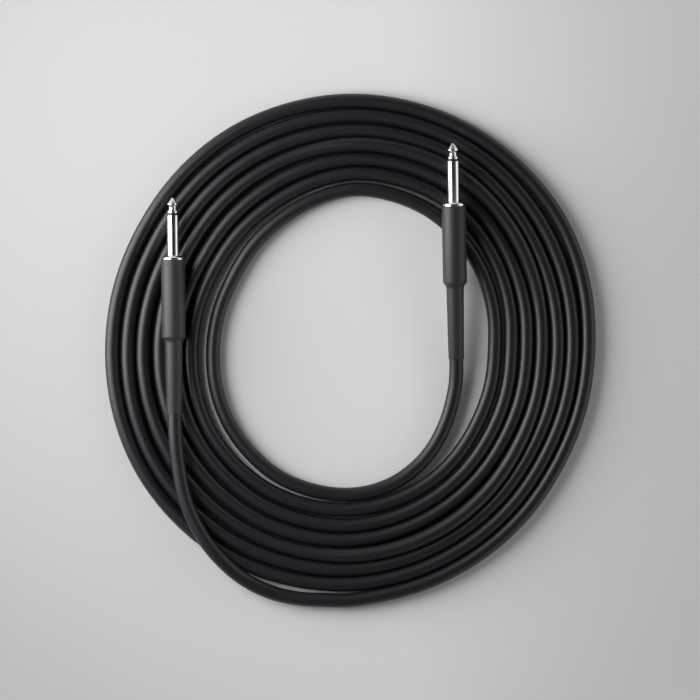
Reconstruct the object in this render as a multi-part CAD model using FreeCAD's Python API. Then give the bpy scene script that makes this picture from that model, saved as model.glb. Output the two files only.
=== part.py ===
import FreeCAD, Part
import math
import os

# An instrument cable with a moulded straight jack plug at each end, laid as a flat open spiral on a table.
# Millimetres. +Z is up from the table, +Y points the way that both plug tips point, +X is to the right of
# that. The origin is on the table, under the middle of everything.

V = FreeCAD.Vector
AXIS = V(0, 0, 1)

# Cable. Its outline is drawn with flat sides, and the underside of the coil is cut flat to stand on.
CORD = 7.5
CORD_SIDES = 6
CORD_FLAT = CORD / 2 * math.cos(math.pi / CORD_SIDES)  # from the cable's middle to a flat side
CORD_CUT = CORD / 10
LOW = CORD / 2 - CORD_CUT  # height of the cable's middle where it lies on the table
LEAST_GAP = 0.1  # between one turn and the next

# Coil, wound anticlockwise and inwards. Each tuple is for the front, right, back and left of the coil.
COIL_X, COIL_Y = 1.25, 0.5
TURNS = 7
OUTER_RADIUS = (131.1, 123.2, 130.5, 126.6)
TURN_STEP = (7.85, 8.05, 7.78, 8.3)
INNER_FALL = (0.9, 0, 0, 2.8)  # how much further in the innermost turn has slipped
SKEW = 2.3  # how far the coil is drawn out along one diagonal, and in along the other
INNER_LEAN = 4.0  # how much more the inner end turns in on its way to the plug, in degrees
END_RUN = CORD  # straight length at each end of the coil

# Plug, along its own axis, from the front of the flange. The standard quarter inch jack.
SHAFT_R = 6.35 / 2
SHAFT_LENGTH = 30.6
TIP_LENGTH = 8.1
NOSE_R = 0.9
RIDGE, TIP_R = 3.5, 2.95  # how far behind the apex, and the radius there
WAIST, WAIST_R = 5.8, 1.95
TIP_REAR_R = 2.85
ROD_R = 1.2
RING_LENGTH, RING_R = 1.2, 3.0  # the insulating ring between the tip and the sleeve
BORE_R = 2.1
FLANGE_R = 6.1
FLANGE = 2.1
FLANGE_BEVEL = 0.6
SPIGOT_SIDES = 8  # it has flat sides, which keep the plug from turning in its handle
SPIGOT_R = 4.4
SPIGOT_END = 9.0

# Contacts behind the spigot.
LUG = 0.8  # sheet thickness
LUG_RING_R, LUG_BORE_R = 4.4, 2.5
WASHER = 1.0
WASHER_R = 3.4
HEAD = 0.5  # how far the tip's rod stands out behind its tag
TAG_R = 2.7
TAG_X = 2.0  # the inner face of the tip's tag
TAG_WIDTH = 2.8
TAG_END = 19.5
STRAP_WIDTH = 3.4
CLAMP_START, CLAMP_END = 25.5, 31.0
CLAMP_OPENING = 3.0

# Wires inside the plug, drawn with flat sides.
WIRE_SIDES = 6
STRIP_END = 24.0  # where the jacket is cut back to
STRAND_R = 0.55
CORE_R = 1.1
CORE_X = -1.5  # where the ground core leaves the jacket
CORE_END = 20.5
BEND = 2.5  # length over which the ground strand steps over to its tag
STRAND_END = 15.0
SOLDER_R = 1.1
SOLDER_START, SOLDER_END = 17.8, 15.6

# Mouldings.
SHELL_R = 5.5
SHELL_START, SHELL_END = 7.5, 34.0
SHELL_WALL = 0.4
SHELL_REAR = 2.5
HANDLE_R = 6.3
HANDLE_END = 42.6
FLARE_END = 45.4
BOOT_R = 4.35
BOOT_END = 82.5
REST_GAP = 0.05  # between a handle and the round cable that carries it

# Where the plugs lie: the front of the flange, the way the tip points, and how far it points up, in degrees.
PLUG_Z = CORD + HANDLE_R + REST_GAP
PLUGS = {
    "left": (V(-93.0, 49.0, PLUG_Z), 90.5, 0.0),
    "right": (V(53.5, 77.4, PLUG_Z + 1.6), 91.1, 6.5),
}

# The free stretches of the cable, from the plug to the coil. The two runs at each end follow from the plug
# and the coil.
HUMP = 14.6
LEAD_LEFT = [
    V(-87.2, -80.0, HUMP),
    V(-80.3, -98.5, HUMP),
    V(-69.0, -114.0, 8.6),
    V(-55.0, -125.2, 3.8),
    V(-37.0, -131.0, LOW),
]
LEAD_LEFT_RUNS = 23.5, 12.0
LEAD_RIGHT = [
    V(53.2, -36.2, 3.4),
    V(45.4, -51.6, LOW),
    V(36.1, -61.4, LOW),
    V(25.0, -67.8, LOW),
]
LEAD_RIGHT_RUNS = 15.1, 8.2


def unit(v):
    return V(v).normalize()


def line(start, end):
    return Part.LineSegment(start, end).toShape()


def tangent_arc(start, heading, end):
    """The arc that leaves start along heading and ends at end."""
    chord = end - start
    aside = heading - unit(chord) * heading.dot(unit(chord))
    bulge = chord.Length / 2 * math.tan(heading.getAngle(chord) / 2)
    return Part.Arc(start, (start + end) / 2 + unit(aside) * bulge, end).toShape()


def biarc(start, heading, end, end_heading):
    """Two arcs that leave start along heading and arrive at end along end_heading."""
    chord = end - start
    ahead = chord.dot(heading + end_heading)
    spread = 2 * (1 - heading.dot(end_heading))
    reach = chord.dot(chord) / (ahead + math.sqrt(ahead**2 + spread * chord.dot(chord)))
    middle = (start + end + (heading - end_heading) * reach) / 2
    along = unit(middle - start)
    return [
        tangent_arc(start, heading, middle),
        tangent_arc(middle, along * (2 * along.dot(heading)) - heading, end),
    ]


def rounded(points):
    """Straight runs joined by tangent arcs, each as large as its two runs allow, and the arcs' radii."""
    edges, radii, here = [], [], points[0]
    for before, corner, after in zip(points, points[1:], points[2:]):
        into, out = corner - before, after - corner
        trim = 0.45 * min(into.Length, out.Length)
        radii.append(trim / math.tan(into.getAngle(out) / 2))
        arc_start = corner - unit(into) * trim
        arc_end = corner + unit(out) * trim
        edges += [line(here, arc_start), tangent_arc(arc_start, unit(into), arc_end)]
        here = arc_end
    return edges + [line(here, points[-1])], radii


def cord_outline(at, heading, cut):
    """The cable's outline across its path, with its underside cut flat by so much."""
    across = unit(heading.cross(AXIS))
    up = across.cross(heading)
    slope = 2 * math.pi / CORD_SIDES
    corners = []
    for i in range(CORD_SIDES):
        sideways, height = CORD / 2 * math.cos(i * slope), CORD / 2 * math.sin(i * slope)
        rise = max(cut - CORD / 2 - height, 0)
        sideways += math.copysign(rise / math.tan(slope), sideways)
        corners.append(at + across * sideways + up * (height + rise))
    return Part.makePolygon(corners + corners[:1])


def cord_tube(name, edges, cut):
    """The cable along a path of edges."""
    path = Part.Wire(edges)
    outline = cord_outline(edges[0].valueAt(0), edges[0].tangentAt(0), cut)
    tube = path.makePipeShell([outline], True, False)
    by_length = Part.Face(outline).Area * path.Length
    print(f"{name}: {path.Length:.0f} mm long, volume {tube.Volume / by_length:.4f} of section times length")
    return tube


def coil_knot(quarter):
    """Where the coil is after so many quarter turns from its outer end, and the way it runs there."""
    side, turn = quarter % 4, quarter // 4
    fall = INNER_FALL[side] * (turn / (TURNS - 1)) ** 6
    radius = OUTER_RADIUS[side] - TURN_STEP[side] * turn - fall
    angle = math.radians(270 + 90 * quarter)
    out = V(math.cos(angle), math.sin(angle), 0)
    inward = (TURN_STEP[side] / (2 * math.pi) + 2 * SKEW * (1 if side % 2 == 0 else -1)) / radius
    if quarter == 4 * TURNS:
        inward += math.radians(INNER_LEAN)
    heading = unit(V(-out.y, out.x, 0) - out * inward)
    return V(COIL_X, COIL_Y, LOW) + out * radius, heading


def least_gap(edges):
    """The least distance between the surfaces of two turns, on points along the coil."""
    points = [p for e in edges for p in e.discretize(Distance=3.0)[:-1]]
    steps = [0.0]
    for a, b in zip(points, points[1:]):
        steps.append(steps[-1] + (b - a).Length)
    near = min(
        (points[j] - points[i]).Length
        for i in range(len(points))
        for j in range(i + 1, len(points))
        if steps[j] - steps[i] > 4 * CORD
    )
    return near - CORD


def coil():
    knots = [coil_knot(quarter) for quarter in range(4 * TURNS + 1)]
    (first, first_heading), (last, last_heading) = knots[0], knots[-1]
    edges = [line(first - first_heading * END_RUN, first)]
    for (start, heading), (end, end_heading) in zip(knots, knots[1:]):
        edges += biarc(start, heading, end, end_heading)
    edges.append(line(last, last + last_heading * END_RUN))
    gap = least_gap(edges)
    print(f"coil: least gap between turns {gap:.2f} mm, which has to be over {LEAST_GAP}")
    return cord_tube("coil", edges, CORD_CUT)


def plug_pose(side):
    front, heading, rise = PLUGS[side]
    level, up = math.radians(heading), math.radians(rise)
    way = V(math.cos(level) * math.cos(up), math.sin(level) * math.cos(up), math.sin(up))
    return front, way


def lead(side, points, runs, coil_end, coil_heading):
    """The free stretch from a plug's boot to an end of the coil."""
    front, way = plug_pose(side)
    leave = front - way * BOOT_END
    route = [leave, leave - way * runs[0]] + points + [coil_end - coil_heading * runs[1], coil_end]
    edges, radii = rounded(route)
    print(f"{side} lead: arc radii", ", ".join(f"{r:.0f}" for r in radii))
    tube = cord_tube(f"{side} lead", edges, 0)
    return tube.cut(Part.makeBox(400, 400, 20, V(-200, -200, -20)))


def turned(*corners):
    """A solid turned about the plug's axis from corners of (radius, place along the axis)."""
    points = [V(r, 0, z) for r, z in corners + corners[:1]]
    return Part.Face(Part.makePolygon(points)).revolve(V(), AXIS, 360)


def flat_outline(sides, radius, place, x=0.0):
    """A regular outline across the axis, with a flat side square to X, and its radius at the corners."""
    turns = [(i + 0.5) * 2 * math.pi / sides for i in range(sides)]
    corners = [V(x + radius * math.cos(turn), radius * math.sin(turn), place) for turn in turns]
    return Part.makePolygon(corners + corners[:1])


def prism(sides, radius, low, high, x=0.0):
    return Part.Face(flat_outline(sides, radius, low, x)).extrude(AXIS * (high - low))


def rod(low, high):
    """The rod that carries the tip."""
    return prism(SPIGOT_SIDES, ROD_R, low, high)


def slab(x0, x1, width, z0, z1):
    return Part.makeBox(x1 - x0, width, z1 - z0, V(x0, -width / 2, z0))


# Places along the plug's axis that several pieces share.
TIP_REAR = SHAFT_LENGTH - TIP_LENGTH
SLEEVE_FRONT = TIP_REAR - RING_LENGTH
WASHER_FRONT = -SPIGOT_END - LUG
TAG_FRONT = WASHER_FRONT - WASHER
ROD_END = TAG_FRONT - LUG


def tip_contact():
    """The turned tip, with the rod that carries it through the sleeve and is riveted behind the tag."""
    tip = turned(
        (0, SHAFT_LENGTH),
        (NOSE_R, SHAFT_LENGTH),
        (TIP_R, SHAFT_LENGTH - RIDGE),
        (WAIST_R, SHAFT_LENGTH - WAIST),
        (TIP_REAR_R, TIP_REAR),
        (0, TIP_REAR),
    )
    return tip.fuse(rod(ROD_END - HEAD, TIP_REAR))


def tip_insulator():
    """The insulating ring behind the tip, in one piece with the tube round the rod."""
    insulator = turned(
        (0, TIP_REAR),
        (RING_R, TIP_REAR),
        (RING_R, SLEEVE_FRONT),
        (BORE_R, SLEEVE_FRONT),
        (BORE_R, -SPIGOT_END),
        (0, -SPIGOT_END),
    )
    return insulator.cut(rod(-SPIGOT_END, TIP_REAR))


def sleeve_contact():
    """The turned sleeve with its flange, and a flat-sided spigot that keys it into the handle."""
    shaft = turned(
        (0, SLEEVE_FRONT),
        (SHAFT_R, SLEEVE_FRONT),
        (SHAFT_R, 0),
        (FLANGE_R - FLANGE_BEVEL, 0),
        (FLANGE_R, -FLANGE_BEVEL),
        (FLANGE_R, -FLANGE),
        (0, -FLANGE),
    )
    spigot = prism(SPIGOT_SIDES, SPIGOT_R, -SPIGOT_END, -FLANGE)
    bore = Part.makeCylinder(BORE_R, SLEEVE_FRONT + SPIGOT_END, V(0, 0, -SPIGOT_END))
    return shaft.fuse(spigot).cut(bore)


def rear_washer():
    """The insulating washer that keeps the two tags apart."""
    return prism(SPIGOT_SIDES, WASHER_R, TAG_FRONT, WASHER_FRONT).cut(rod(TAG_FRONT, WASHER_FRONT))


def tip_tag():
    """The solder tag riveted to the tip's rod."""
    eye = prism(SPIGOT_SIDES, TAG_R, ROD_END, TAG_FRONT).cut(rod(ROD_END, TAG_FRONT))
    tab = slab(TAG_X, TAG_X + LUG, TAG_WIDTH, -TAG_END, TAG_FRONT)
    return eye.fuse(tab).removeSplitter()


def sleeve_tag():
    """The solder tag of the sleeve: a ring, a long strap, and a clamp bent round the cable's jacket."""
    ring = prism(SPIGOT_SIDES, LUG_RING_R, WASHER_FRONT, -SPIGOT_END)
    ring = ring.cut(prism(SPIGOT_SIDES, LUG_BORE_R, WASHER_FRONT, -SPIGOT_END))
    strap = slab(-CORD_FLAT - LUG, -CORD_FLAT, STRAP_WIDTH, -CLAMP_START, -SPIGOT_END)
    clamp = prism(CORD_SIDES, (CORD_FLAT + LUG) * CORD / 2 / CORD_FLAT, -CLAMP_END, -CLAMP_START)
    opening = slab(0, CORD, CLAMP_OPENING, -CLAMP_END, -CLAMP_START)
    clamp = clamp.cut(prism(CORD_SIDES, CORD / 2, -CLAMP_END, -CLAMP_START)).cut(opening)
    return ring.fuse([strap, clamp]).removeSplitter()


def stepped_strand(x0, x1):
    """The ground strand, which leaves the jacket at x0 and steps over to its tag at x1."""
    places = ((x0, -STRIP_END), (x0, -CORE_END), (x1, BEND - CORE_END), (x1, -STRAND_END))
    outlines = [flat_outline(WIRE_SIDES, STRAND_R, place, x) for x, place in places]
    return Part.makeLoft(outlines, True, True)


def solder_bead(strand, x, inner, outer):
    """The solder round a strand, from the wires' side of it to the face of its tag."""
    bead = prism(WIRE_SIDES, SOLDER_R, -SOLDER_START, -SOLDER_END, x)
    return bead.common(slab(inner, outer, CORD, -SOLDER_START, -SOLDER_END)).cut(strand)


def inner_shell():
    """The hard shell over the soldered joints, which keeps the handle's moulding off them."""
    shell = prism(SPIGOT_SIDES, SHELL_R, -SHELL_END, -SHELL_START)
    hollow = prism(SPIGOT_SIDES, SHELL_R - SHELL_WALL, -SHELL_END + SHELL_REAR, -SPIGOT_END)
    cable = prism(CORD_SIDES, CORD / 2, -SHELL_END, -SHELL_END + SHELL_REAR)
    spigot = prism(SPIGOT_SIDES, SPIGOT_R, -SPIGOT_END, -SHELL_START)
    return shell.cut(hollow).cut(cable).cut(spigot)


def handle():
    """The moulded handle and its flexible boot, in one piece round everything behind the flange."""
    body = turned(
        (0, -FLANGE),
        (HANDLE_R, -FLANGE),
        (HANDLE_R, -HANDLE_END),
        (BOOT_R, -FLARE_END),
        (BOOT_R, -BOOT_END),
        (0, -BOOT_END),
    )
    body = body.cut(prism(SPIGOT_SIDES, SPIGOT_R, -SHELL_START, -FLANGE))
    body = body.cut(prism(SPIGOT_SIDES, SHELL_R, -SHELL_END, -SHELL_START))
    return body.cut(prism(CORD_SIDES, CORD / 2, -BOOT_END, -SHELL_END))


def plug():
    """The pieces of one plug, by name, about the plug's own axis."""
    flat = math.cos(math.pi / WIRE_SIDES)
    signal_x, ground_x = TAG_X - STRAND_R * flat, STRAND_R * flat - CORD_FLAT
    signal_strand = prism(WIRE_SIDES, STRAND_R, -STRIP_END, -STRAND_END, signal_x)
    ground_strand = stepped_strand(CORE_X, ground_x)
    return {
        "tip_contact": tip_contact(),
        "tip_insulator": tip_insulator(),
        "sleeve_contact": sleeve_contact(),
        "rear_washer": rear_washer(),
        "tip_tag": tip_tag(),
        "sleeve_tag": sleeve_tag(),
        "signal_strand": signal_strand,
        "signal_core": prism(WIRE_SIDES, CORE_R, -STRIP_END, -CORE_END, signal_x).cut(signal_strand),
        "ground_strand": ground_strand,
        "ground_core": prism(WIRE_SIDES, CORE_R, -STRIP_END, -CORE_END, CORE_X).cut(ground_strand),
        "signal_solder": solder_bead(signal_strand, signal_x, 0, TAG_X),
        "ground_solder": solder_bead(ground_strand, ground_x, -CORD_FLAT, 0),
        "jacket_end": prism(CORD_SIDES, CORD / 2, -BOOT_END, -STRIP_END),
        "inner_shell": inner_shell(),
        "handle": handle(),
    }


os.makedirs("parts", exist_ok=True)
outer_end, outer_heading = coil_knot(0)
inner_end, inner_heading = coil_knot(4 * TURNS)
outer_end, inner_end = outer_end - outer_heading * END_RUN, inner_end + inner_heading * END_RUN
nodes = {
    "coil": coil(),
    "lead_left": lead("left", LEAD_LEFT, LEAD_LEFT_RUNS, outer_end, outer_heading),
    "lead_right": lead("right", LEAD_RIGHT, LEAD_RIGHT_RUNS, inner_end, inner_heading * -1),
}
for piece, shape in plug().items():
    for side in PLUGS:
        front, way = plug_pose(side)
        up = unit(way.cross(AXIS)).cross(way)
        laid = shape.copy()
        laid.Placement = FreeCAD.Placement(front, FreeCAD.Rotation(up, V(), way, "ZXY"))
        nodes[f"{piece}_{side}"] = laid
for name, shape in nodes.items():
    shape.exportStep(f"parts/{name}.step")
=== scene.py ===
import math

import bpy
from mathutils import Matrix, Vector


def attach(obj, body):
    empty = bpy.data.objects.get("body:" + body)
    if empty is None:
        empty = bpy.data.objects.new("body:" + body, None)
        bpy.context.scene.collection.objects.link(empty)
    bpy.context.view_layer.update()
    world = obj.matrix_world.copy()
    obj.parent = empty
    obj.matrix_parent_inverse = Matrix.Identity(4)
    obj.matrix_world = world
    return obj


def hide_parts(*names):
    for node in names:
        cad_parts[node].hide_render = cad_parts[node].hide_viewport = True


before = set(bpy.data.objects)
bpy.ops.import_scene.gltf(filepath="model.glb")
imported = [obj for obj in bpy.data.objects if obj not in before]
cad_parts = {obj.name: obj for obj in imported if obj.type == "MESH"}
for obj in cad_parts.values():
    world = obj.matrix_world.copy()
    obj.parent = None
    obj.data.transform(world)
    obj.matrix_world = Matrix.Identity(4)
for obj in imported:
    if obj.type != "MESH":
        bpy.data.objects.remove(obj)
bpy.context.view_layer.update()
scene = bpy.context.scene

# Camera. It looks straight down on the table, from far enough away that the raised plugs keep their place
# over the turns. The picture is square and a little wider than the coil.
VIEW_MIDDLE = (-0.0006, 0.0)
VIEW_WIDTH = 0.3675
VIEW_HEIGHT_ABOVE = 2.6
SENSOR = 36.0
lens = bpy.data.cameras.new("camera")
lens.sensor_width = SENSOR
lens.lens = SENSOR * VIEW_HEIGHT_ABOVE / VIEW_WIDTH
lens.clip_start, lens.clip_end = 0.05, 50
camera = bpy.data.objects.new("camera", lens)
camera.location = (*VIEW_MIDDLE, VIEW_HEIGHT_ABOVE)
scene.collection.objects.link(camera)
scene.camera = camera

# The cable. One length of round flexible cable, about 4.8 m of it, in a matte black extruded PVC jacket. It
# leaves the left plug, passes over the turns in a long low hump, winds inwards seven times on the table and
# curls up to the right plug.
CABLE = 0.0075
REST = CABLE / 2  # height of the cable's middle where it lies on the table
COIL_MIDDLE = Vector((0.00125, 0.0005, 0))
WOUND_TURNS = 7
PLACES = 12  # places round the coil, every 30 degrees anticlockwise from the front
POINTS_A_TURN = 2 * PLACES

# The outermost turn's reach from the coil's middle at those places, the step in from each turn to the next, and
# how much further in the last turn falls, all in millimetres. The turns all but touch at the front and the back
# and lie up to a millimetre apart on the left.
OUTERMOST = (130.8, 126.2, 122.5, 122.8, 125.8, 129.1, 130.3, 129.6, 126.5, 126.8, 127.8, 126.8)
STEP_IN = (7.65, 7.6, 7.7, 8.1, 7.7, 7.4, 7.6, 8.55, 8.5, 8.4, 8.2, 8.1)
LAST_FALL = (0.8, 0.4, 1.1, 0.5, 1.2, 1.9, 0.6, 0.5, 2.4, 2.9, 2.5, 0.5)

# Where a turn strays outwards (or inwards) from that even spiral: the turn, the degrees round from the front, and
# by how many millimetres.
STRAYS = {
    (1, 120): 1.8,
    (1, 270): -0.3,
    (2, 300): 0.7,
    (3, 90): 0.4,
    (3, 120): -0.6,
    (3, 180): -0.5,
    (3, 210): 0.6,
    (3, 270): 0.5,
    (4, 0): 0.4,
    (4, 30): 0.9,
    (4, 60): 0.4,
    (4, 150): 0.4,
    (4, 210): 0.6,
    (4, 300): -0.4,
    (5, 150): 0.9,
    (5, 240): -0.7,
    (5, 300): -0.6,
}
SQUEEZED_TURN = 4  # it has less room than its thickness in places, and rides up between its neighbours

# The free stretches between the plugs and the coil, in millimetres, from each plug on.
LEFT_LEAD = (
    (-92.29, -32.5, 13.85),
    (-92.05, -44.0, 13.6),
    (-90.5, -59.0, 12.5),
    (-87.7, -76.0, 11.6),
    (-82.4, -89.5, 11.25),
    (-75.4, -101.4, 11.25),
    (-65.6, -112.6, 9.8),
    (-54.4, -121.6, 6.2),
    (-40.5, -128.0, 3.9),
    (-25.5, -130.8, 3.75),
    (-11.0, -131.15, 3.75),
)
RIGHT_LEAD = (
    (55.05, -3.6, 6.22),
    (55.3, -11.0, 5.3),
    (54.5, -21.0, 4.1),
    (50.9, -35.5, 3.75),
    (44.6, -49.5, 3.75),
    (34.9, -61.5, 3.75),
    (20.4, -71.6, 3.75),
)


def turn_reach(place):
    """How far from the coil's middle the cable's own middle is, at one of its places counted from its start."""
    turn, way = divmod(place, PLACES)
    reach = OUTERMOST[way] - turn * STEP_IN[way] + STRAYS.get((turn + 1, way * 360 // PLACES), 0)
    return reach if turn < WOUND_TURNS - 1 else reach - LAST_FALL[way]


def coil_points():
    """The spline's points along the turns, each set out a little because the spline passes inside them."""
    reaches = [turn_reach(0)]
    for place in range(1, WOUND_TURNS * PLACES + 1):
        reaches += [(turn_reach(place - 1) + turn_reach(place)) / 2, turn_reach(place)]
    out = 1 / math.cos(math.pi / POINTS_A_TURN)
    points = []
    for i, reach in enumerate(reaches):
        angle = 2 * math.pi * i / POINTS_A_TURN - math.pi / 2
        height = REST
        if i // POINTS_A_TURN == SQUEEZED_TURN - 1:
            room = min(reaches[i - POINTS_A_TURN] - reach, reach - reaches[i + POINTS_A_TURN]) / 1000
            height += math.sqrt(max(0, CABLE**2 - room**2))
        across = reach * out / 1000
        points.append(COIL_MIDDLE + Vector((across * math.cos(angle), across * math.sin(angle), height)))
    return points


def in_metres(points):
    return [Vector(point) / 1000 for point in points]


def lay_cable(points):
    """The cable's middle line: points read from one smooth spline through its route."""
    curve = bpy.data.curves.new("cable_route", "CURVE")
    curve.dimensions = "3D"
    curve.resolution_u = 6
    spline = curve.splines.new("NURBS")
    spline.points.add(len(points) - 1)
    for knot, point in zip(spline.points, points):
        knot.co = (*point, 1)
    spline.order_u = 3
    spline.use_endpoint_u = True
    route = bpy.data.objects.new("cable_route", curve)
    scene.collection.objects.link(route)
    line = bpy.data.meshes.new_from_object(route)
    bpy.data.objects.remove(route)
    return line


def socket(node, name, outgoing=False):
    """A node's own socket of that name which is in use."""
    found = node.outputs if outgoing else node.inputs
    return next(s for s in found if s.name == name and s.enabled)


def jacket_sweep():
    """Geometry nodes that draw a round jacket along a line. Each point also keeps its place on the jacket as it
    came off the reel: across it in X and Y, and along it in Z."""
    tree = bpy.data.node_groups.new("jacket_sweep", "GeometryNodeTree")
    face = tree.interface
    face.new_socket("Line", in_out="INPUT", socket_type="NodeSocketGeometry")
    face.new_socket("Thickness", in_out="INPUT", socket_type="NodeSocketFloat")
    face.new_socket("Facets", in_out="INPUT", socket_type="NodeSocketInt")
    face.new_socket("Jacket", in_out="INPUT", socket_type="NodeSocketMaterial")
    face.new_socket("Cable", in_out="OUTPUT", socket_type="NodeSocketGeometry")
    node, join = tree.nodes.new, tree.links.new
    given, made = node("NodeGroupInput"), node("NodeGroupOutput")
    line = node("GeometryNodeMeshToCurve")
    measure = node("GeometryNodeSplineParameter")
    along = node("GeometryNodeCaptureAttribute")
    along.capture_items.new("FLOAT", "Along")
    half = node("ShaderNodeMath")
    half.operation = "MULTIPLY"
    half.inputs[1].default_value = 0.5
    outline = node("GeometryNodeCurvePrimitiveCircle")
    place = node("GeometryNodeInputPosition")
    across = node("GeometryNodeCaptureAttribute")
    across.capture_items.new("VECTOR", "Across")
    sweep = node("GeometryNodeCurveToMesh")
    sweep.inputs["Fill Caps"].default_value = True
    apart, together = node("ShaderNodeSeparateXYZ"), node("ShaderNodeCombineXYZ")
    keep = node("GeometryNodeStoreNamedAttribute")
    keep.data_type, keep.domain = "FLOAT_VECTOR", "POINT"
    keep.inputs["Name"].default_value = "jacket_place"
    whole, dress = node("GeometryNodeRealizeInstances"), node("GeometryNodeSetMaterial")
    join(given.outputs["Line"], line.inputs["Mesh"])
    join(line.outputs["Curve"], along.inputs["Geometry"])
    join(measure.outputs["Length"], along.inputs["Along"])
    join(given.outputs["Thickness"], half.inputs[0])
    join(half.outputs[0], socket(outline, "Radius"))
    join(given.outputs["Facets"], outline.inputs["Resolution"])
    join(outline.outputs["Curve"], across.inputs["Geometry"])
    join(place.outputs["Position"], across.inputs["Across"])
    join(along.outputs["Geometry"], sweep.inputs["Curve"])
    join(across.outputs["Geometry"], sweep.inputs["Profile Curve"])
    join(across.outputs["Across"], apart.inputs[0])
    join(apart.outputs["X"], together.inputs["X"])
    join(apart.outputs["Y"], together.inputs["Y"])
    join(along.outputs["Along"], together.inputs["Z"])
    join(sweep.outputs["Mesh"], keep.inputs["Geometry"])
    join(together.outputs[0], socket(keep, "Value"))
    join(keep.outputs["Geometry"], whole.inputs["Geometry"])
    join(whole.outputs["Geometry"], dress.inputs["Geometry"])
    join(given.outputs["Jacket"], dress.inputs["Material"])
    join(dress.outputs["Geometry"], made.inputs["Cable"])
    return tree


def set_inputs(modifier, values):
    """Sets a geometry nodes modifier's inputs by name."""
    for item in modifier.node_group.interface.items_tree:
        if item.item_type == "SOCKET" and item.in_out == "INPUT" and item.name in values:
            modifier[item.identifier] = values[item.name]


def plain_mesh(piece):
    """Turns a piece and its modifiers into one plain smooth mesh."""
    view_layer = bpy.context.view_layer
    view_layer.update()
    mesh = bpy.data.meshes.new_from_object(piece.evaluated_get(bpy.context.evaluated_depsgraph_get()))
    piece.modifiers.clear()
    piece.data = mesh
    for polygon in mesh.polygons:
        polygon.use_smooth = True


def two_tones(nodes, first, second):
    """A node that goes from one colour to another with its factor."""
    tone = nodes.new("ShaderNodeMix")
    tone.data_type = "RGBA"
    socket(tone, "A").default_value = (*first, 1)
    socket(tone, "B").default_value = (*second, 1)
    return tone


def ramp(nodes, start, end, low=0.0, high=1.0, smooth=False):
    """A node that goes from low to high while its value goes from start to end."""
    node = nodes.new("ShaderNodeMapRange")
    if smooth:
        node.interpolation_type = "SMOOTHSTEP"
    node.inputs["From Min"].default_value, node.inputs["From Max"].default_value = start, end
    node.inputs["To Min"].default_value, node.inputs["To Max"].default_value = low, high
    return node


def fine_grain():
    """Shader group: the faint unevenness of a black plastic surface, used by jacket, mouldings and insulators.
    Its fine grain and its wider patches both vary about 0.5."""
    group = bpy.data.node_groups.new("fine_grain", "ShaderNodeTree")
    face = group.interface
    face.new_socket("Place", in_out="INPUT", socket_type="NodeSocketVector")
    for name, value in (("Grain Size", 0.0003), ("Patch Size", 0.01)):
        face.new_socket(name, in_out="INPUT", socket_type="NodeSocketFloat").default_value = value
    for name in ("Grain", "Patches"):
        face.new_socket(name, in_out="OUTPUT", socket_type="NodeSocketFloat")
    node, join = group.nodes.new, group.links.new
    given, made = node("NodeGroupInput"), node("NodeGroupOutput")
    for size, result in (("Grain Size", "Grain"), ("Patch Size", "Patches")):
        scale = node("ShaderNodeMath")
        scale.operation = "DIVIDE"
        scale.inputs[0].default_value = 1.0
        noise = node("ShaderNodeTexNoise")
        noise.inputs["Detail"].default_value = 3.0
        noise.inputs["Roughness"].default_value = 0.6
        join(given.outputs[size], scale.inputs[1])
        join(given.outputs["Place"], noise.inputs["Vector"])
        join(scale.outputs[0], noise.inputs["Scale"])
        join(noise.outputs[0], made.inputs[result])
    return group


FINE_GRAIN = fine_grain()


def black_plastic(name, place, stretch, dark, light, smooth, dull, grain, patch, depth):
    """A black moulded or extruded plastic: its two tones, its two roughnesses, and the sizes of its grain and patches.
    place is the attribute that tells where a point is on the piece, stretch how far the grain is drawn out along it,
    and depth how deep the grain is."""
    material = bpy.data.materials.new(name)
    material.use_nodes = True
    nodes, join = material.node_tree.nodes, material.node_tree.links.new
    shader = nodes["Principled BSDF"]
    where = nodes.new("ShaderNodeAttribute")
    where.attribute_name = place
    drawn = nodes.new("ShaderNodeMapping")
    drawn.inputs["Scale"].default_value = stretch
    surface = nodes.new("ShaderNodeGroup")
    surface.node_tree = FINE_GRAIN
    surface.inputs["Grain Size"].default_value = grain
    surface.inputs["Patch Size"].default_value = patch
    tone = two_tones(nodes, dark, light)
    shine = ramp(nodes, 0.3, 0.7, smooth, dull)
    bump = nodes.new("ShaderNodeBump")
    bump.inputs["Strength"].default_value = 0.35
    bump.inputs["Distance"].default_value = depth
    join(where.outputs["Vector"], drawn.inputs["Vector"])
    join(drawn.outputs["Vector"], surface.inputs["Place"])
    join(surface.outputs["Patches"], socket(tone, "Factor"))
    join(socket(tone, "Result", outgoing=True), shader.inputs["Base Color"])
    join(surface.outputs["Grain"], shine.inputs["Value"])
    join(shine.outputs["Result"], shader.inputs["Roughness"])
    join(surface.outputs["Grain"], bump.inputs["Height"])
    join(bump.outputs["Normal"], shader.inputs["Normal"])
    return material


JACKET = black_plastic(
    "jacket_pvc",
    place="jacket_place",
    stretch=(1, 1, 0.08),
    dark=(0.0090, 0.0090, 0.0128),
    light=(0.0116, 0.0116, 0.0156),
    smooth=0.36,
    dull=0.46,
    grain=0.00035,
    patch=0.006,
    depth=0.00003,
)
cable_line = lay_cable(in_metres(LEFT_LEAD) + coil_points() + in_metres(reversed(RIGHT_LEAD)))
cable = bpy.data.objects.new("cable", cable_line)
scene.collection.objects.link(cable)
sweep = cable.modifiers.new("sweep", "NODES")
sweep.node_group = jacket_sweep()
set_inputs(sweep, {"Thickness": CABLE, "Facets": 24, "Jacket": JACKET})
plain_mesh(cable)
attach(cable, "root")
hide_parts("coil", "lead_left", "lead_right")

# The handles. Each is one moulding of satin black PVC with a boot drawn out behind it, injected round the
# contacts' spigot, the inner shell and the cable's end. Its shoulder runs down to the boot in a hollow flare.

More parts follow.
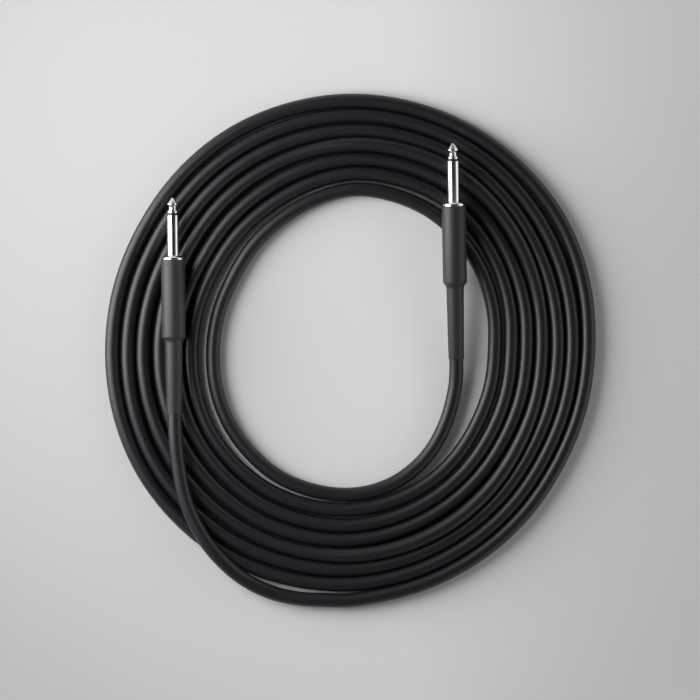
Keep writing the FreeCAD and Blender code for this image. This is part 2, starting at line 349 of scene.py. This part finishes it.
# Both plugs lie where the frame has them: the middle of the flange's front, the way that the tip points, in degrees
# anticlockwise from the right, and how many degrees it rises.
PLUGS = {
    "left": (Vector((-0.0930, 0.0490, 0.01385)), 90.5, 0.0),
    "right": (Vector((0.0535, 0.0774, 0.01545)), 91.1, 6.5),
}
ROUND = 64  # facets round a turned or moulded piece
SHARP = math.radians(32)  # a corner sharper than this shows as an edge


def plug_place(side):
    """The matrix that lays a plug, made upright about its own axis, in its place."""
    front, level, rise = PLUGS[side]
    level, rise = math.radians(level), math.radians(rise)
    way = Vector((math.cos(level) * math.cos(rise), math.sin(level) * math.cos(rise), math.sin(rise)))
    aside = way.cross(Vector((0, 0, 1))).normalized()
    up = aside.cross(way)
    return Matrix.Translation(front) @ Matrix((up, aside * -1, way)).transposed().to_4x4()


def turned(name, side, profile, material, closed=True):
    """A piece turned about the plug's axis from corners of (radius, place along the axis) in millimetres, listed
    from the tip backwards along the outside. A closed one is listed back along its bore to where it began."""
    verts, faces, rings = [], [], []
    for radius, along in profile:
        if radius == 0:
            rings.append([len(verts)])
            verts.append(Vector((0, 0, along)) / 1000)
            continue
        rings.append(list(range(len(verts), len(verts) + ROUND)))
        for i in range(ROUND):
            turn = 2 * math.pi * i / ROUND
            verts.append(Vector((radius * math.cos(turn), radius * math.sin(turn), along)) / 1000)
    for front, back in zip(rings, rings[1:] + (rings[:1] if closed else [])):
        for i in range(ROUND):
            j = (i + 1) % ROUND
            if len(front) == 1 and len(back) == 1:
                break
            if len(front) == 1:
                faces.append((front[0], back[i], back[j]))
            elif len(back) == 1:
                faces.append((front[j], front[i], back[0]))
            else:
                faces.append((front[j], front[i], back[i], back[j]))
    mesh = bpy.data.meshes.new(name)
    mesh.from_pydata(verts, [], faces)
    local = mesh.attributes.new("plug_place", "FLOAT_VECTOR", "POINT")
    local.data.foreach_set("vector", [value for vert in verts for value in vert])
    mesh.transform(plug_place(side))
    mesh.polygons.foreach_set("use_smooth", [True] * len(mesh.polygons))
    mesh.set_sharp_from_angle(angle=SHARP)
    mesh.materials.append(material)
    piece = bpy.data.objects.new(name, mesh)
    scene.collection.objects.link(piece)
    return piece


MOULDING = black_plastic(
    "moulded_pvc",
    place="plug_place",
    stretch=(1, 1, 1),
    dark=(0.0240, 0.0237, 0.0258),
    light=(0.0280, 0.0276, 0.0298),
    smooth=0.44,
    dull=0.52,
    grain=0.0004,
    patch=0.008,
    depth=0.00002,
)
HANDLE_OUTSIDE = (
    (5.5, -2.1),
    (5.95, -2.12),
    (6.18, -2.25),
    (6.3, -2.55),
    (6.3, -42.0),
    (6.26, -42.35),
    (6.1, -42.65),
    (5.8, -42.95),
    (5.4, -43.4),
    (5.05, -43.95),
    (4.8, -44.6),
    (4.66, -45.3),
    (4.6, -46.2),
    (4.1, -82.1),
    (4.03, -82.4),
    (3.85, -82.5),
    (3.66, -82.5),
)
HANDLE_INSIDE = (
    (3.66, -34.0),
    (5.5, -34.0),
    (5.5, -7.5),
    (4.4, -7.5),
    (4.4, -2.1),
)
for side in PLUGS:
    handle = turned(f"handle_and_boot_{side}", side, HANDLE_OUTSIDE + HANDLE_INSIDE, MOULDING)
    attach(handle, "root")
    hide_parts(f"handle_{side}")

# The sleeve contacts. Each is turned from brass bar in one piece: the shaft, the flange that stops the plug in
# its socket, and the spigot that the handle grips. It is nickel plated and bright.


def nickel_plate():
    """Bright nickel over turned brass, with the fine rings of the turning and faint marks of use."""
    material = bpy.data.materials.new("bright_nickel")
    material.use_nodes = True
    nodes, join = material.node_tree.nodes, material.node_tree.links.new
    shader = nodes["Principled BSDF"]
    shader.inputs["Metallic"].default_value = 1.0
    where = nodes.new("ShaderNodeAttribute")
    where.attribute_name = "plug_place"
    rings = nodes.new("ShaderNodeMapping")
    rings.inputs["Scale"].default_value = (0.02, 0.02, 1)
    turning = nodes.new("ShaderNodeTexNoise")
    turning.inputs["Scale"].default_value = 9000
    turning.inputs["Detail"].default_value = 2
    marks = nodes.new("ShaderNodeMapping")
    marks.inputs["Scale"].default_value = (1, 1, 0.06)
    rubbing = nodes.new("ShaderNodeTexNoise")
    rubbing.inputs["Scale"].default_value = 2500
    rubbing.inputs["Detail"].default_value = 4
    tone = two_tones(nodes, (0.80, 0.785, 0.76), (0.87, 0.86, 0.84))
    shine = ramp(nodes, 0.35, 0.7, 0.07, 0.14)
    bump = nodes.new("ShaderNodeBump")
    bump.inputs["Strength"].default_value = 0.12
    bump.inputs["Distance"].default_value = 0.000004
    join(where.outputs["Vector"], rings.inputs["Vector"])
    join(rings.outputs["Vector"], turning.inputs["Vector"])
    join(where.outputs["Vector"], marks.inputs["Vector"])
    join(marks.outputs["Vector"], rubbing.inputs["Vector"])
    join(rubbing.outputs[0], socket(tone, "Factor"))
    join(socket(tone, "Result", outgoing=True), shader.inputs["Base Color"])
    join(rubbing.outputs[0], shine.inputs["Value"])
    join(shine.outputs["Result"], shader.inputs["Roughness"])
    join(turning.outputs[0], bump.inputs["Height"])
    join(bump.outputs["Normal"], shader.inputs["Normal"])
    return material


NICKEL = nickel_plate()
SLEEVE = (
    (2.1, 21.3),
    (2.95, 21.3),
    (3.12, 21.22),
    (3.175, 21.05),
    (3.175, 0.15),
    (3.32, 0.0),
    (4.85, 0.0),
    (5.05, -0.06),
    (6.02, -0.98),
    (6.1, -1.15),
    (6.1, -1.85),
    (5.98, -2.04),
    (5.7, -2.1),
    (4.4, -2.1),
    (4.4, -9.0),
    (2.1, -9.0),
)
for side in PLUGS:
    sleeve = turned(f"sleeve_and_flange_{side}", side, SLEEVE, NICKEL)
    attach(sleeve, "root")
    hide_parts(f"sleeve_contact_{side}")

# The tip contacts. Each arrow-headed tip is turned with the rod that carries it down the sleeve, and is plated
# like the sleeve. The waist behind its ridge is what the socket's spring drops into.
TIP = (
    (0, 30.6),
    (0.28, 30.55),
    (0.52, 30.4),
    (0.75, 30.12),
    (2.62, 27.62),
    (2.85, 27.3),
    (2.92, 27.05),
    (2.86, 26.8),
    (2.6, 26.5),
    (2.25, 26.15),
    (2.05, 25.75),
    (1.97, 25.3),
    (1.97, 24.5),
    (2.03, 24.1),
    (2.2, 23.8),
    (2.6, 23.62),
    (2.8, 23.52),
    (2.85, 23.35),
    (2.85, 22.65),
    (2.8, 22.5),
    (1.2, 22.5),
    (1.2, -12.1),
    (0, -12.1),
)
for side in PLUGS:
    tip = turned(f"tip_and_rod_{side}", side, TIP, NICKEL, closed=False)
    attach(tip, "root")
    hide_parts(f"tip_contact_{side}")

# The insulators. Each black collar between tip and sleeve is one moulding of hard plastic with the tube that lines
# the sleeve. The rod is pushed through it.
INSULATING = black_plastic(
    "insulating_plastic",
    place="plug_place",
    stretch=(1, 1, 1),
    dark=(0.012, 0.012, 0.012),
    light=(0.016, 0.016, 0.016),
    smooth=0.28,
    dull=0.36,
    grain=0.0003,
    patch=0.002,
    depth=0.00001,
)
INSULATOR = (
    (1.2, 22.5),
    (2.7, 22.5),
    (2.82, 22.4),
    (2.82, 21.45),
    (2.9, 21.3),
    (2.1, 21.3),
    (2.1, -9.0),
    (1.2, -9.0),
)
for side in PLUGS:
    collar = turned(f"tip_insulator_ring_{side}", side, INSULATOR, INSULATING)
    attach(collar, "root")
    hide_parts(f"tip_insulator_{side}")

# What is inside the handles. The two cores of the cable are soldered to a tip tag and a sleeve tag of tinned brass,
# with a board washer between them and a hard shell over the joints. It is all moulded in, and none of it shows.


def plain_finish(name, light, dark, roughness, metallic, size):
    """A hidden piece's finish: two tones in soft patches of one size."""
    material = bpy.data.materials.new(name)
    material.use_nodes = True
    nodes, join = material.node_tree.nodes, material.node_tree.links.new
    shader = nodes["Principled BSDF"]
    shader.inputs["Metallic"].default_value = metallic
    shader.inputs["Roughness"].default_value = roughness
    where = nodes.new("ShaderNodeTexCoord")
    patches = nodes.new("ShaderNodeTexNoise")
    patches.inputs["Scale"].default_value = 1 / size
    tone = two_tones(nodes, light, dark)
    join(where.outputs["Object"], patches.inputs["Vector"])
    join(patches.outputs[0], socket(tone, "Factor"))
    join(socket(tone, "Result", outgoing=True), shader.inputs["Base Color"])
    return material


TINNED = plain_finish("tinned_brass", (0.74, 0.70, 0.60), (0.62, 0.58, 0.48), 0.30, 1.0, 0.002)
COPPER = plain_finish("bare_copper", (0.80, 0.42, 0.26), (0.62, 0.30, 0.18), 0.35, 1.0, 0.0006)
SOLDER = plain_finish("solder", (0.62, 0.62, 0.64), (0.50, 0.50, 0.52), 0.38, 1.0, 0.001)
BOARD = plain_finish("pressed_board", (0.40, 0.27, 0.15), (0.28, 0.18, 0.10), 0.75, 0.0, 0.0008)
WHITE_CORE = plain_finish("white_core", (0.80, 0.79, 0.76), (0.72, 0.71, 0.68), 0.45, 0.0, 0.002)
BLACK_CORE = plain_finish("black_core", (0.03, 0.03, 0.03), (0.02, 0.02, 0.02), 0.45, 0.0, 0.002)
HARD_SHELL = plain_finish("natural_plastic", (0.78, 0.77, 0.72), (0.70, 0.69, 0.64), 0.50, 0.0, 0.004)
JACKET_END = plain_finish("jacket_end", (0.0125, 0.0125, 0.013), (0.0095, 0.0095, 0.010), 0.45, 0.0, 0.004)
HIDDEN = {
    "tip_tag": TINNED,
    "sleeve_tag": TINNED,
    "rear_washer": BOARD,
    "signal_strand": COPPER,
    "ground_strand": COPPER,
    "signal_core": WHITE_CORE,
    "ground_core": BLACK_CORE,
    "signal_solder": SOLDER,
    "ground_solder": SOLDER,
    "inner_shell": HARD_SHELL,
    "jacket_end": JACKET_END,
}
for piece, finish in HIDDEN.items():
    for side in PLUGS:
        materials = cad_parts[f"{piece}_{side}"].data.materials
        materials.clear()
        materials.append(finish)

# The table. It is a plain pale top with painted shade: it is toned down towards the lamps so that it looks even under
# their light, and it is painted dark under the turns, where it shows only in the slits between them. Beyond the
# picture it fades into an even backdrop, which only the camera and shiny pieces see.
TABLE_REACH = 3.0
NEAR_LAMPS, AWAY_FROM_LAMPS = -0.26, 0.03  # where along X the painted shade towards the lamps begins and ends
SLITS_BEGIN = (0.084, 0.090)  # how far from the coil's middle the painted shade under the turns comes in,
SLITS_END = (0.1205, 0.1245)  # and how far out it has gone again
COIL_SQUEEZE = 0.965  # the coil is a little longer than it is wide
BACKDROP_BEGINS = (0.22, 0.38)  # how far out the backdrop fades in


def pale_table():
    """The table top's material. It reads how far a point is from the coil's middle, and where it is along X, to paint
    shade under the turns and towards the lamps.
    """
    material = bpy.data.materials.new("pale_table")
    material.use_nodes = True
    nodes, join = material.node_tree.nodes, material.node_tree.links.new
    top = nodes["Principled BSDF"]
    top.inputs["Roughness"].default_value = 0.7
    top.inputs["Specular IOR Level"].default_value = 0.2
    where = nodes.new("ShaderNodeTexCoord")
    apart = nodes.new("ShaderNodeSeparateXYZ")
    # Painted shade: the paper is darker towards the lamps, to even out their light on the floor.
    away_from_lamps = ramp(nodes, NEAR_LAMPS, AWAY_FROM_LAMPS)
    paper_with_painted_shade = two_tones(nodes, (0.36, 0.36, 0.362), (0.92, 0.92, 0.925))
    outwards = nodes.new("ShaderNodeVectorMath")
    outwards.operation = "DISTANCE"
    outwards.inputs[1].default_value = COIL_MIDDLE
    slits = ramp(nodes, *SLITS_BEGIN, smooth=True)
    squeezed = nodes.new("ShaderNodeMapping")
    squeezed.inputs["Scale"].default_value = (1, COIL_SQUEEZE, 1)
    out_to_rim = nodes.new("ShaderNodeVectorMath")
    out_to_rim.operation = "DISTANCE"
    out_to_rim.inputs[1].default_value = COIL_MIDDLE
    rim = ramp(nodes, *reversed(SLITS_END), smooth=True)
    under_turns = nodes.new("ShaderNodeMath")
    under_turns.operation = "MULTIPLY"
    # Painted shade: a dark ring on the table under the turns, so that the slits between them look dark, as in shade.
    painted_slit_shade = nodes.new("ShaderNodeMix")
    painted_slit_shade.data_type = "RGBA"
    socket(painted_slit_shade, "B").default_value = (0.06, 0.06, 0.06, 1)
    join(where.outputs["Object"], apart.inputs[0])
    join(apart.outputs["X"], away_from_lamps.inputs["Value"])
    join(away_from_lamps.outputs["Result"], socket(paper_with_painted_shade, "Factor"))
    join(where.outputs["Object"], outwards.inputs[0])
    join(outwards.outputs["Value"], slits.inputs["Value"])
    join(where.outputs["Object"], squeezed.inputs["Vector"])
    join(squeezed.outputs["Vector"], out_to_rim.inputs[0])
    join(out_to_rim.outputs["Value"], rim.inputs["Value"])
    join(slits.outputs["Result"], under_turns.inputs[0])
    join(rim.outputs["Result"], under_turns.inputs[1])
    join(under_turns.outputs[0], socket(painted_slit_shade, "Factor"))
    join(socket(paper_with_painted_shade, "Result", outgoing=True), socket(painted_slit_shade, "A"))
    join(socket(painted_slit_shade, "Result", outgoing=True), top.inputs["Base Color"])

    far = ramp(nodes, *BACKDROP_BEGINS, smooth=True)
    rays = nodes.new("ShaderNodeLightPath")
    looked_at = nodes.new("ShaderNodeMath")
    looked_at.operation = "MAXIMUM"
    fade = nodes.new("ShaderNodeMath")
    fade.operation = "MULTIPLY"
    backdrop = nodes.new("ShaderNodeEmission")
    backdrop.inputs["Color"].default_value = (0.60, 0.60, 0.605, 1)
    in_metal = ramp(nodes, 0.0, 1.0, 1.0, 1.6)
    blend = nodes.new("ShaderNodeMixShader")
    join(outwards.outputs["Value"], far.inputs["Value"])
    join(rays.outputs["Is Camera Ray"], looked_at.inputs[0])
    join(rays.outputs["Is Glossy Ray"], looked_at.inputs[1])
    join(far.outputs["Result"], fade.inputs[0])
    join(looked_at.outputs[0], fade.inputs[1])
    join(rays.outputs["Is Glossy Ray"], in_metal.inputs["Value"])
    join(in_metal.outputs["Result"], backdrop.inputs["Strength"])
    join(fade.outputs[0], blend.inputs["Fac"])
    join(top.outputs["BSDF"], blend.inputs[1])
    join(backdrop.outputs["Emission"], blend.inputs[2])
    join(blend.outputs["Shader"], nodes["Material Output"].inputs["Surface"])
    return material


table_mesh = bpy.data.meshes.new("table")
corners = [(x * TABLE_REACH, y * TABLE_REACH, 0) for x, y in ((-1, -1), (1, -1), (1, 1), (-1, 1))]
table_mesh.from_pydata(corners, [], [(0, 1, 2, 3)])
table_mesh.materials.append(pale_table())
table = bpy.data.objects.new("table", table_mesh)
scene.collection.objects.link(table)

# Light: a large soft box that leans over the table from the left, with a smaller one above it and a low strip at
# its foot. A weak fill stands opposite and a pale strip at the back. The room is dim, with pale walls on the right.


def soft_box(name, place, aim, size, radiance):
    """A rectangular lamp whose brightness, seen from the front, doesn't change with its size."""
    box = bpy.data.lights.new(name, "AREA")
    box.shape = "RECTANGLE"
    box.size, box.size_y = size
    box.energy = radiance * math.pi * size[0] * size[1]
    lamp = bpy.data.objects.new(name, box)
    lamp.location = place
    lamp.rotation_euler = (Vector(aim) - Vector(place)).to_track_quat("-Z", "Y").to_euler()
    lamp.visible_camera = False
    scene.collection.objects.link(lamp)


soft_box("key", (-0.45, 0.115, 0.335), (-0.02, 0.0, 0), (0.46, 0.39), 5.45)
soft_box("key_top", (-0.33, 0.09, 0.56), (-0.09, 0.07, 0), (0.26, 0.14), 2.2)
soft_box("key_foot", (-0.72, 0.18, 0.125), (0.0, 0.0, 0.01), (0.72, 0.20), 7.5)
soft_box("back", (-0.25, 0.85, 0.11), (-0.02, 0.10, 0.01), (0.80, 0.22), 0.7)
soft_box("fill", (0.75, -0.05, 0.75), (0.05, 0.0, 0), (0.9, 0.5), 0.12)


def dim_room():
    """The room round the table: walls that are brightest on the right, and a dark ceiling that is a little lighter
    at the front. The camera sees one pale tone instead."""
    room = bpy.data.worlds.new("room")
    room.use_nodes = True
    nodes, join = room.node_tree.nodes, room.node_tree.links.new
    ground = nodes["Background"]
    ground.inputs["Color"].default_value = (1, 1, 1, 1)
    view = nodes.new("ShaderNodeTexCoord")
    way = nodes.new("ShaderNodeSeparateXYZ")
    walls = ramp(nodes, 0.35, 0.8, 0.2, 1.2)
    ceiling = ramp(nodes, 0.0, -0.3, 0.03, 0.12)
    upwards = ramp(nodes, 0.46, 0.60)
    rays = nodes.new("ShaderNodeLightPath")
    seen = nodes.new("ShaderNodeMix")
    socket(seen, "B").default_value = 0.92
    join(view.outputs["Generated"], way.inputs[0])
    join(way.outputs["X"], walls.inputs["Value"])
    join(way.outputs["Y"], ceiling.inputs["Value"])
    join(way.outputs["Z"], upwards.inputs["Value"])
    join(walls.outputs["Result"], upwards.inputs["To Min"])
    join(ceiling.outputs["Result"], upwards.inputs["To Max"])
    join(upwards.outputs["Result"], socket(seen, "A"))
    join(rays.outputs["Is Camera Ray"], socket(seen, "Factor"))
    join(socket(seen, "Result", outgoing=True), ground.inputs["Strength"])
    return room


scene.world = dim_room()
scene.view_settings.view_transform = "Standard"
